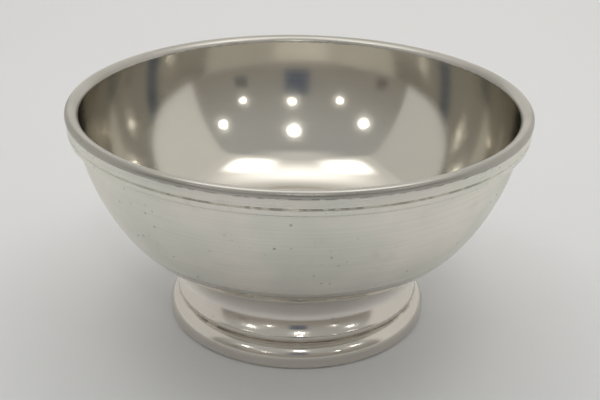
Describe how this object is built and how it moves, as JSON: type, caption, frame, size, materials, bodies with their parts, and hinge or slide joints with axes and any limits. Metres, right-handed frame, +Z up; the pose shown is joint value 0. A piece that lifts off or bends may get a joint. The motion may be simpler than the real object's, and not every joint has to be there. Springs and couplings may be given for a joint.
{
  "type": "shaving bowl",
  "caption": "Round footed metal lather bowl: open ball-shaped bowl with a beaded rim and a lined band, on a hollow concave foot with a moulded base.",
  "frame": {"origin": "centre of the foot's underside, on the surface that the bowl stands on", "axes": "+Z up along the bowl's axis of revolution, out of the open mouth; +X and +Y are arbitrary, the bowl is round"},
  "size_m": [0.127, 0.127, 0.0639],
  "materials": {
    "pewter_spun": "satin, fine turning lines, worn",
    "pewter_bright": "polished, lightly worn",
    "solder": "polished solder"
  },
  "bodies": {
    "root": {"bowl_body": "pewter_spun", "rim_bead": "pewter_bright", "rim_band": "pewter_spun", "neck_solder": "solder", "inner_solder": "solder", "foot_spool": "pewter_bright", "base_ring": "pewter_bright"}
  },
  "joints": []
}
